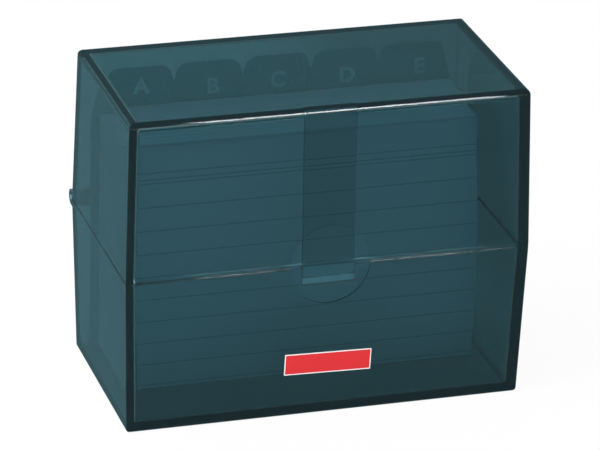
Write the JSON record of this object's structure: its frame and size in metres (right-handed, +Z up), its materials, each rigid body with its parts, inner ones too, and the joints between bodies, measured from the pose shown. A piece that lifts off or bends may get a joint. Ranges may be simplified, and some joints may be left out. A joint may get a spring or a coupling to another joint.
{
  "type": "index card box",
  "caption": "Hinged-lid box of tinted clear plastic that holds A7 index cards and tabbed dividers.",
  "frame": {"origin": "centre of the bounding box, at the underside of the base", "axes": "+X right along the front, +Y to the back where the hinge is, +Z up; the front faces -Y"},
  "size_m": [0.12, 0.067, 0.0952],
  "materials": {
    "tinted_plastic": "polished, see-through petrol blue",
    "pin_steel": "drawn wire",
    "label_film": "printed film, satin",
    "ruled_card": "smooth card, ruled",
    "card_paper": "smooth card, cut edges",
    "divider_film": "satin see-through film"
  },
  "bodies": {
    "base": {"base_shell": "tinted_plastic", "hinge_pin_left": "pin_steel", "hinge_pin_right": "pin_steel", "front_label": "label_film"},
    "lid": {"lid_shell": "tinted_plastic"},
    "front_cards": {"front_card": "ruled_card", "card_bundle_01": "card_paper", "card_bundle_02": "card_paper"},
    "second_cards": {"card_bundle_03": "card_paper", "card_bundle_04": "card_paper"},
    "third_cards": {"card_bundle_05": "card_paper", "card_bundle_06": "card_paper"},
    "fourth_cards": {"card_bundle_07": "card_paper", "card_bundle_08": "card_paper"},
    "rear_cards": {"card_bundle_09": "card_paper", "card_bundle_10": "card_paper"},
    "dividers": {"divider_a": "divider_film", "divider_b": "divider_film", "divider_c": "divider_film", "divider_d": "divider_film", "divider_e": "divider_film"}
  },
  "joints": [
    {"name": "lid_hinge", "type": "hinge", "parent": "base", "child": "lid", "pos_m": [0, 0.03118, 0.04755], "axis": [-1, 0, 0], "range_deg": [0, 175]},
    {"name": "front_cards_tilt", "type": "hinge", "parent": "base", "child": "front_cards", "pos_m": [0, -0.00822, 0.0025], "axis": [1, 0, 0], "range_deg": [0, 18]},
    {"name": "second_cards_tilt", "type": "hinge", "parent": "base", "child": "second_cards", "pos_m": [0, 0.0026, 0.0025], "axis": [1, 0, 0], "range_deg": [0, 12.61]},
    {"name": "third_cards_tilt", "type": "hinge", "parent": "base", "child": "third_cards", "pos_m": [0, 0.00762, 0.0025], "axis": [1, 0, 0], "range_deg": [0, 8.11]},
    {"name": "fourth_cards_tilt", "type": "hinge", "parent": "base", "child": "fourth_cards", "pos_m": [0, 0.01264, 0.0025], "axis": [1, 0, 0], "range_deg": [0, 4.51]},
    {"name": "rear_cards_tilt", "type": "hinge", "parent": "base", "child": "rear_cards", "pos_m": [0, 0.01766, 0.0025], "axis": [1, 0, 0], "range_deg": [0, 1.81]},
    {"name": "dividers_tilt", "type": "hinge", "parent": "base", "child": "dividers", "pos_m": [0, 0.02268, 0.0025], "axis": [1, 0, 0], "range_deg": [0, 0.73]}
  ],
  "couplings": [
    {"joint": "second_cards_tilt", "follows": "front_cards_tilt", "ratio": 0.7},
    {"joint": "third_cards_tilt", "follows": "front_cards_tilt", "ratio": 0.45},
    {"joint": "fourth_cards_tilt", "follows": "front_cards_tilt", "ratio": 0.25},
    {"joint": "rear_cards_tilt", "follows": "front_cards_tilt", "ratio": 0.1},
    {"joint": "dividers_tilt", "follows": "front_cards_tilt", "ratio": 0.04}
  ]
}
